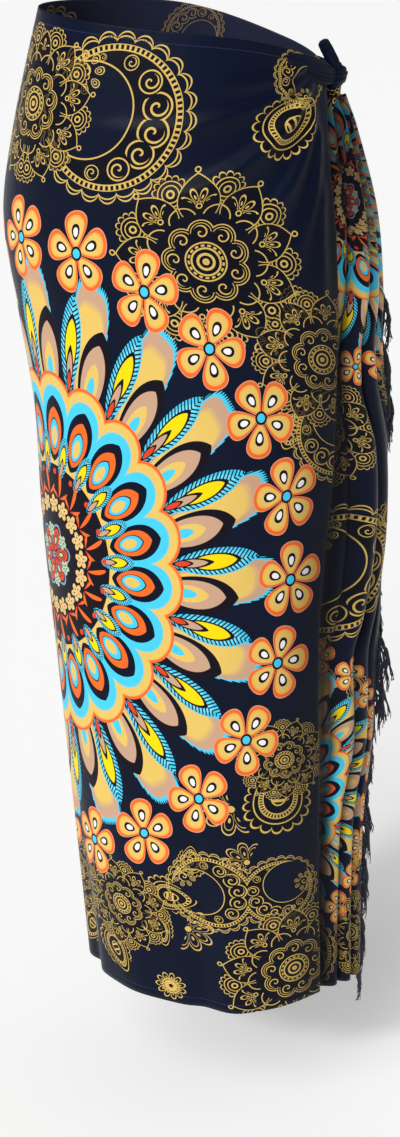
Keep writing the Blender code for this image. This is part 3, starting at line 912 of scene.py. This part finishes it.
# The rest of the way round: the same cloth, by the back and the left hip, to the inner end, which lies
# flat against the wearer behind the outer layer.
INNER_END_BEARING = 84.0
BACK_SLACK = 0.0014
BACK_ROWS, BACK_COLUMNS = 190, 176
end = 360.0 + INNER_END_BEARING
bearing = np.linspace(end, SEAM_BEARING, BACK_COLUMNS)[None, :]
bearing = bearing + SEAM_GAP / metres_per_degree(SEAM_BEARING, -0.5) * (
    1 - (bearing - SEAM_BEARING) / (end - SEAM_BEARING)
)
rim = long_edge("rim", bearing)
hem = long_edge("hem", bearing)
level = levels_down(rim, hem, BACK_ROWS)
bearing = np.broadcast_to(bearing, level.shape)
run = run_round(bearing, level)
down = (rim - level) / (rim - hem) * CLOTH_LENGTH
slack = ease(*SLACK_FROM_TO, down) * ease(0.0, 25.0, bearing - SEAM_BEARING)
slack = slack * (1.0 - ease(340.0, 372.0, bearing))
points = skin(bearing, level, BACK_SLACK * soft_waves(run, down) * slack)
wrap_back = cloth_sheet("back_cloth", points, np.stack([run, down], axis=-1))
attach(wrap_back, "root")
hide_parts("wrap_back")

# The fall: the cloth's free end, which spreads from the knot in soft pleats. Its top edge runs down
# from the knot to the corner, and its fringed short side hangs from there.
FALL_TOP_LEVEL = -0.0831
CORNER_LEVEL = -0.287
FALL_HEM_LEVEL = -1.098
PLEATS = 4
FALL_WIDTH = 0.16
FALL_PRINT_START = 10.0
UPPER_ROWS, LOWER_ROWS, FALL_COLUMNS = 61, 150, 121
upper = np.linspace(FALL_TOP_LEVEL, CORNER_LEVEL, UPPER_ROWS)
lower = np.linspace(CORNER_LEVEL, FALL_HEM_LEVEL, LOWER_ROWS)[1:]
level = np.concatenate([upper, lower])[:, None]
share = np.linspace(0.0, 1.0, FALL_COLUMNS)[None, :]
left = side("slit", level) + side("tuck", level)
bearing = left + (side("free_edge", level) - left) * share
past = side("slit", level) - bearing
low = ease(0.3, 0.4, -level) * (1.0 - ease(0.8, 0.9, -level))
stand_off = LAYER + (side("stand_off", level) - LAYER) * ease(1.6 + 2.6 * low, 16.0 + 6.0 * low, past)
phase = PLEATS * share ** (1.0 + 0.25 * ease(0.29, 0.36, -level))
ridge = (np.sin(math.pi * phase) ** 2 + 0.002) ** (0.62 - 0.28 * ease(0.22, 0.4, -level))
fine = 0.5 + 0.5 * np.cos(2 * math.pi * (2.6 * phase + 0.3))
fine = fine * (1.0 - ease(0.12, 0.4, -level)) * 0.3
pleat_height = side("pleat_height", level) + 0.001 * ease(0.33, 0.5, -level)
between_ridges = np.clip(1.0 - ridge, 0.0, 1.0)
sunk = (0.95 - 0.35 * ease(0.3, 0.45, -level)) * (stand_off - LAYER) * between_ridges**1.1
sunk = sunk * (1.0 - ease(0.8, 0.93, share))
sunk = sunk - 0.003 * ease(0.88, 1.0, share) * ease(0.16, 0.26, -level)
pleat = (pleat_height * ridge * (1.0 - fine) - sunk) * ease(1.6 + 2.6 * low, 8.0 + 4.0 * low, past)
hem = long_edge("hem", bearing)
sag = (hem - FALL_HEM_LEVEL) * ease(0.8, -FALL_HEM_LEVEL, -level)
lean = 1.1 * np.sin(2 * math.pi * phase) * ease(0.09, 0.16, -level) * (1.0 - ease(0.3, 0.6, -level))
lean = lean * ease(0.0, 0.15, share) * (1.0 - ease(0.85, 1.0, share))
fall_points = skin(bearing + lean, level + sag, stand_off + pleat)
reach = (KNOT_LEVEL + 0.012 - level) / 0.98
spread = np.where(reach < FALL_WIDTH, 0.5 * math.pi, np.arcsin(np.clip(FALL_WIDTH / reach, 0.0, 1.0)))
across = reach * np.sin(spread * share)
along = reach * np.cos(spread * share)
place = np.stack([FALL_PRINT_START + across, along], axis=-1)
# Painted shade: the printed colours are darkened in the valleys, beside the slit, and where the pleats crowd
# under the knot.
valley_shade = 0.88 * between_ridges**0.8 * (1.0 - ease(0.85, 1.0, share))
slit_shade = 0.9 * (1.0 - ease(5.0, 12.0, past)) * ease(0.26, 0.36, -level)
# Painted shade under the knot, where the pleats crowd together.
gathered = 0.78 * (1.0 - ease(0.14, 0.31, -level)) * (1.0 - 0.35 * ease(0.7, 0.95, share))
deep = 1.0 - (1.0 - valley_shade) * (1.0 - slit_shade) * (1.0 - gathered)
fall = cloth_sheet("fall_cloth", fall_points, place, deep)
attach(fall, "root")
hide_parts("fall")

# The fringe: the warp ends of the cloth's short side, left long, twisted in small locks, and tangled by
# wear. They hang down along the free edge from the corner to the hem.
FRINGE_LENGTH = 0.056
THREAD_RADIUS = 0.00075
LOCKS = 150
THREADS_IN_LOCK = 5
THREAD_STEPS = 10
WANDER = 0.003
BUNCHES = table(
    "level reach pull swing outward",
    (-0.3, 0.024, 0.35, 0.003, 0.014),
    (-0.35, 0.024, 0.45, 0.003, 0.014),
    (-0.405, 0.024, 0.45, 0.003, 0.011),
    (-0.69, 0.022, 0.75, 0.003, 0.014),
    (-0.745, 0.024, 0.7, 0.003, 0.015),
    (-0.89, 0.03, 0.4, 0.006, 0.01),
    (-0.96, 0.03, 0.4, 0.006, 0.01),
    (-1.03, 0.03, 0.45, 0.006, 0.009),
)


def tube_mesh(name, rings, around, along, material, closed=False):
    """Tubes on rings of points, as one piece. Around and along are the places of its points in the UV
    map. An open tube has an end on each side, and a closed one runs into itself."""
    index = np.arange(rings[..., 0].size).reshape(rings.shape[:-1])
    near, far = (index, np.roll(index, -1, axis=1)) if closed else (index[:, :-1], index[:, 1:])
    walls = np.stack([near, np.roll(near, -1, axis=2), np.roll(far, -1, axis=2), far], axis=-1).reshape(-1, 4)
    ends = [] if closed else np.concatenate([index[:, 0, ::-1], index[:, -1]]).tolist()
    mesh = bpy.data.meshes.new(name)
    mesh.from_pydata(rings.reshape(-1, 3).tolist(), [], walls.tolist() + ends)
    place = [np.broadcast_to(part, index.shape).reshape(-1) for part in (around, along)]
    lay_print(mesh, np.stack(place, axis=-1))
    mesh.materials.append(material)
    mesh.shade_smooth()
    piece = bpy.data.objects.new(name, mesh)
    bpy.context.scene.collection.objects.link(piece)
    return piece


def unit(ways):
    return ways / np.linalg.norm(ways, axis=-1, keepdims=True)


def thread_tubes(name, paths, radius, material, sides=5, taper=0.55):
    """Thin tubes along paths of points, narrower at their tips."""
    count, steps = paths.shape[:2]
    ahead = unit(np.gradient(paths, axis=1))
    beside = unit(np.cross(ahead, (0.35, -0.93, 0.12)))
    above = np.cross(beside, ahead)
    turn = FULL_TURN * np.arange(sides) / sides
    share = np.linspace(0.0, 1.0, steps)
    size = radius * (1.0 - (1.0 - taper) * share**2)
    ring = beside[:, :, None, :] * np.cos(turn)[:, None] + above[:, :, None, :] * np.sin(turn)[:, None]
    rings = paths[:, :, None, :] + ring * size[:, None, None]
    around = turn / FULL_TURN + np.arange(count)[:, None, None] * 0.37
    return tube_mesh(name, rings, around, share[:, None], material)


def fringe_thread():
    """Twisted rayon thread: near black, with a slant of plies along it, painted lighter on their crests and
    darker between them as painted highlight and shade, and a dull shine.
    """
    material, shader = new_material("fringe_thread", Sheen_Weight=0.15)
    around, along = Field.node("UVMap", {"uv_map": "Print"}).parts()
    plies = (around * 12.566 + along * 260.0).sine().times_plus(0.5, 0.5)
    # Painted highlight and shade: the colour runs from near black between the plies to a lighter blue on
    # their crests.
    shade = bands(plies, (0.5, ink(10, 11, 24), ink(20, 22, 42)), (1.0, ink(20, 22, 42), ink(38, 40, 66)))
    shade.into(shader, "Base Color")
    plies.times_plus(-0.15, 0.75).into(shader, "Roughness")
    return material


edge = fall_points[UPPER_ROWS - 1 :, -1]
edge_across = unit(edge - fall_points[UPPER_ROWS - 1 :, -3])
LEGS_MIDDLE = (0.05, -0.02, 0.0)
LEVEL_ONLY = np.array([1.0, 1.0, 0.0])
UP = np.array([0.0, 0.0, 1.0])
edge_run = np.concatenate([[0.0], np.cumsum(np.linalg.norm(np.diff(edge, axis=0), axis=1))])
edge_out = unit((edge - LEGS_MIDDLE) * LEVEL_ONLY)


def on_edge(values, at):
    return np.stack([np.interp(at, edge_run, values[:, axis]) for axis in range(3)], axis=-1)


chance = np.random.default_rng(11)
lock_share = (np.arange(LOCKS) + chance.uniform(0.15, 0.85, LOCKS)) / LOCKS
lock_level = edge[0, 2] + (edge[-1, 2] - edge[0, 2]) * lock_share
LOOSE_SWING, LOOSE_OUTWARD = 0.0035, 0.003
swings = np.full(LOCKS, LOOSE_SWING)
outwards = np.full(LOCKS, LOOSE_OUTWARD)
# Locks gather in a few thick bunches, where the edge has been handled.
for bunch in BUNCHES:
    away = lock_level - bunch.level
    near = np.exp(-((away / bunch.reach) ** 2))
    lock_level = lock_level - away * bunch.pull * near
    swings += (bunch.swing - LOOSE_SWING) * near
    outwards += (bunch.outward - LOOSE_OUTWARD) * near
lock_at = np.interp(-lock_level, -edge[:, 2], edge_run)
step = np.linspace(0.0, 1.0, THREAD_STEPS)
paths = []
for lock in range(LOCKS):
    length = FRINGE_LENGTH * chance.uniform(0.72, 1.08)
    swing = swings[lock] * chance.uniform(0.4, 1.3)
    outward = outwards[lock] * chance.uniform(0.3, 1.25)
    wander = chance.uniform(-1.0, 1.0, 6)
    turns = chance.uniform(4.0, 9.0)
    hold = on_edge(edge, lock_at[lock])
    across = unit(on_edge(edge_across, lock_at[lock]) * LEVEL_ONLY)
    out = on_edge(edge_out, lock_at[lock])
    beside = WANDER * wander[0] * np.sin(5.0 * step + 2.0 * wander[1]) * step
    beside = beside + swing * (1.0 - np.exp(-4.5 * step))
    off = WANDER * wander[2] * np.sin(6.0 * step + 3.0 * wander[3]) * step
    off = off + outward * (1.0 - np.exp(-5.0 * step))
    down = length * (step - 0.16 * (1.0 - np.exp(-6.0 * step)))
    middle = hold + across * beside[:, None] + out * off[:, None] - UP * down[:, None]
    for thread in range(THREADS_IN_LOCK):
        turn = FULL_TURN * thread / THREADS_IN_LOCK + turns * step + wander[4]
        own = chance.uniform(-1.0, 1.0, 3)
        size = 0.0008 + 0.0016 * (1.0 - step) ** 2 + 0.0022 * np.abs(own[0]) * step**3
        path = middle + across * (np.cos(turn) * size)[:, None]
        path = path + out * (np.sin(turn) * size * (0.25 + 0.75 * step))[:, None]
        path = path + UP * (own[1] * 0.006 * step**2)[:, None]
        path[0] = on_edge(edge, lock_at[lock] + (thread - 2.0) * 0.0011) - across * 0.0008
        paths.append(path)
fringe = thread_tubes("fringe_threads", np.array(paths), THREAD_RADIUS, fringe_thread())
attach(fringe, "root")
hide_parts("fall_fringe")

# The knot: the two top corners, rolled into soft ropes, drawn through each other and pulled tight. One
# corner stands up from it as a short ear, and below it the gathered cloth flares into the fall.
KNOT_STAND_OFF = 0.0205
PLAIN_PLACE = (0.18, 0.196, 0.04, 0.075)
NECK_PLACE = (0.196, 0.232, 0.2, 0.17)


def through(values, count):
    """A smooth run of values through a few given ones."""
    values = np.asarray(values, float)
    at = np.linspace(0.0, len(values) - 1.0, count)
    i = np.clip(at.astype(int), 0, len(values) - 2)
    t = (at - i)[:, None]
    slope = np.gradient(values, axis=0)
    return curve(values[i], values[i + 1], slope[i], slope[i + 1], t)


def rolled_cloth(
    name, node, centres, sizes, facing, folds, depth, twist,
    where=PLAIN_PLACE, closed=False, sides=44, steps=40,
):
    """Cloth gathered into a rope, in place of a node: folds run along it with a twist, and its ends draw in.

    Where is the roll's place in the print: from and to, along it and around it."""
    if closed:
        line, size = centres, sizes
        steps = len(line)
        ahead = np.roll(line, -1, axis=0) - np.roll(line, 1, axis=0)
    else:
        line, size = through(centres, steps), through(sizes, steps)
        ahead = np.gradient(line, axis=0)
    ahead = unit(ahead)
    facing = np.broadcast_to(np.asarray(facing, float), line.shape)
    above = unit(facing - ahead * (facing * ahead).sum(1, keepdims=True))
    beside = np.cross(ahead, above)
    share = np.linspace(0.0, 1.0, steps, endpoint=not closed)[:, None]
    turn = FULL_TURN * np.arange(sides)[None, :] / sides
    fold = np.abs(np.sin(folds * turn / 2 + twist * share * math.pi)) ** 0.7
    fold = 1.0 - depth + depth * fold + 0.3 * depth * np.sin((folds + 3) * turn + 5.0 * share)
    points = line[:, None, :] + beside[:, None, :] * (np.cos(turn) * fold * size[:, :1])[..., None]
    points = points + above[:, None, :] * (np.sin(turn) * fold * size[:, 1:])[..., None]
    around = where[0] + (where[1] - where[0]) * (0.5 + 0.5 * np.cos(turn))
    piece = tube_mesh(name, points[None], around, where[2] + (where[3] - where[2]) * share, face, closed)
    bpy.context.view_layer.objects.active = piece
    piece.select_set(True)
    bpy.ops.object.mode_set(mode="EDIT")
    bpy.ops.mesh.select_all(action="SELECT")
    bpy.ops.mesh.normals_make_consistent(inside=False)
    bpy.ops.object.mode_set(mode="OBJECT")
    piece.select_set(False)
    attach(piece, "root")
    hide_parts(node)


# The knot's own axes: x along the waist to the front, y out from the body, z up.
knot_middle = skin(KNOT_BEARING, KNOT_LEVEL, KNOT_STAND_OFF)
out = unit(knot_middle - skin(KNOT_BEARING, KNOT_LEVEL))
knot_axes = np.stack([unit(np.cross(out, UP)), out, UP], axis=-1)


def knot_roll(name, node, stations, **looks):
    """A roll whose stations are in the knot's own axes: x, y, z and half the width and the depth."""
    stations = np.array(stations)
    line = stations[:, :3] @ knot_axes.T + knot_middle
    rolled_cloth(name, node, line, stations[:, 3:], knot_axes[:, 1], **looks)


NECK = (
    (-0.0035, -0.0105, -0.031, 0.02, 0.006),
    (-0.0025, -0.0092, -0.024, 0.016, 0.0068),
    (-0.0012, -0.007, -0.017, 0.0108, 0.0068),
    (0, -0.0052, -0.01, 0.0074, 0.0062),
    (0, -0.0045, -0.003, 0.005, 0.0048),
)
GATHERS = (
    (0, -0.0045, -0.0075, 0.0058, 0.0056),
    (0, -0.004, 0, 0.0064, 0.0062),
    (0.0008, -0.0042, 0.007, 0.0074, 0.0064),
    (0.0012, -0.0046, 0.0115, 0.006, 0.0052),
    (0.0014, -0.005, 0.0135, 0.002, 0.0018),
)
knot_roll("knot_neck", "knot_core", NECK, folds=10, depth=0.3, twist=0.12, where=NECK_PLACE)
knot_roll("knot_gathers", "knot_core", GATHERS, folds=9, depth=0.26, twist=0.45)

# The turn of cloth that is drawn tight round the gathers.
turn = FULL_TURN * np.arange(48) / 48
ring = np.stack(
    [
        0.008 * np.cos(turn),
        -0.0062 + 0.0082 * np.sin(turn),
        -0.001 - 0.003 * np.cos(turn + 0.6) + 0.0008 * np.sin(3 * turn),
    ],
    axis=-1,
)
ring_size = np.stack([0.0078 + 0.0012 * np.sin(2 * turn + 0.5), 0.0048 + 0.0007 * np.cos(3 * turn)], axis=-1)
ring_out = np.stack([np.cos(turn), np.sin(turn), np.zeros(48)], axis=-1) @ knot_axes.T
ring = ring @ knot_axes.T + knot_middle
rolled_cloth("knot_hitch", "knot_loop", ring, ring_size, ring_out, 7, 0.26, 2.0, closed=True)

# The short tail of the other corner, which stands out of the knot.
EAR = (
    (0.001, -0.004, 0.007, 0.005, 0.005),
    (0.0022, -0.007, 0.014, 0.007, 0.006),
    (0.004, -0.0108, 0.0215, 0.0078, 0.006),
    (0.0052, -0.0145, 0.028, 0.008, 0.0058),
    (0.0058, -0.0172, 0.0325, 0.0074, 0.0052),
    (0.006, -0.0184, 0.0345, 0.0034, 0.0026),
)
knot_roll("knot_ear_cloth", "knot_ear", EAR, folds=5, depth=0.3, twist=0.5, steps=30)

# The top edges where they are gathered into the knot: bearing, level, stand-off, half width and depth.
FRONT_ARM = (
    (56, -0.038, 0.01, 0.007, 0.0006),
    (45, -0.043, 0.0108, 0.01, 0.0011),
    (36, -0.0485, 0.0116, 0.0112, 0.0019),
    (29, -0.0545, 0.0128, 0.0116, 0.003),
    (23, -0.059, 0.0142, 0.0098, 0.0042),
    (18.5, -0.0615, 0.0155, 0.0072, 0.0048),
    (15.5, -0.0625, 0.0165, 0.0048, 0.004),
)
BACK_ARM = (
    (12, -0.0625, 0.0155, 0.0052, 0.0044),
    (7.5, -0.062, 0.0125, 0.0072, 0.0044),
    (3.5, -0.062, 0.0088, 0.0084, 0.0036),
    (-2, -0.062, 0.0046, 0.0082, 0.0022),
    (-9, -0.061, 0.002, 0.0074, 0.0013),
    (-18, -0.059, 0, 0.006, 0.0007),
)
for name, node, stations, where in (
    ("knot_front_gathers", "knot_front_arm", FRONT_ARM, (0.184, 0.2, 0.03, 0.07)),
    ("knot_back_gathers", "knot_back_arm", BACK_ARM, PLAIN_PLACE),
):
    bearing, level, stand_off, wide, deep = np.array(stations).T
    line = skin(bearing, level, stand_off)
    out = through(line - skin(bearing, level), 40)
    size = np.stack([wide, deep], axis=-1)
    rolled_cloth(name, node, line, size, out, folds=14, depth=0.42, twist=0.15, where=where, sides=72)

# The floor and the light: a pale painted floor and world, and three soft suns from the left and right.
FLOOR_LEVEL = -1.242
WHITE_LIGHT = (1.0, 1.0, 1.0, 1.0)
floor_paint = new_material(
    "floor_paint",
    Base_Color=(0.94, 0.94, 0.94, 1.0),
    Roughness=0.7,
    Emission_Color=WHITE_LIGHT,
    Emission_Strength=0.2,
)[0]
bpy.ops.mesh.primitive_plane_add(size=80.0, location=(0.0, 0.0, FLOOR_LEVEL))
floor = bpy.context.object
floor.name = "floor"
floor.data.transform(Matrix.Translation(floor.location))
floor.location = (0.0, 0.0, 0.0)
floor.data.materials.append(floor_paint)
world = bpy.data.worlds.new("studio")
bpy.context.scene.world = world
world.use_nodes = True
world.node_tree.nodes["Background"].inputs["Color"].default_value = WHITE_LIGHT
world.node_tree.nodes["Background"].inputs["Strength"].default_value = 0.28
for name, place, softness, strength in (
    ("key", (-1.45, -2.1, 2.1), 50.0, 1.6),
    ("satin_light", (-1.7, -1.9, 1.7), 8.0, 1.1),
    ("side_light", (2.2, 0.6, 1.6), 30.0, 0.12),
):
    bpy.ops.object.light_add(type="SUN", location=place)
    light = bpy.context.object
    light.name = name
    light.data.angle = math.radians(softness)
    light.data.energy = strength
    light.rotation_euler = light.location.to_track_quat("Z", "Y").to_euler()
bpy.context.scene.view_settings.view_transform = "Standard"
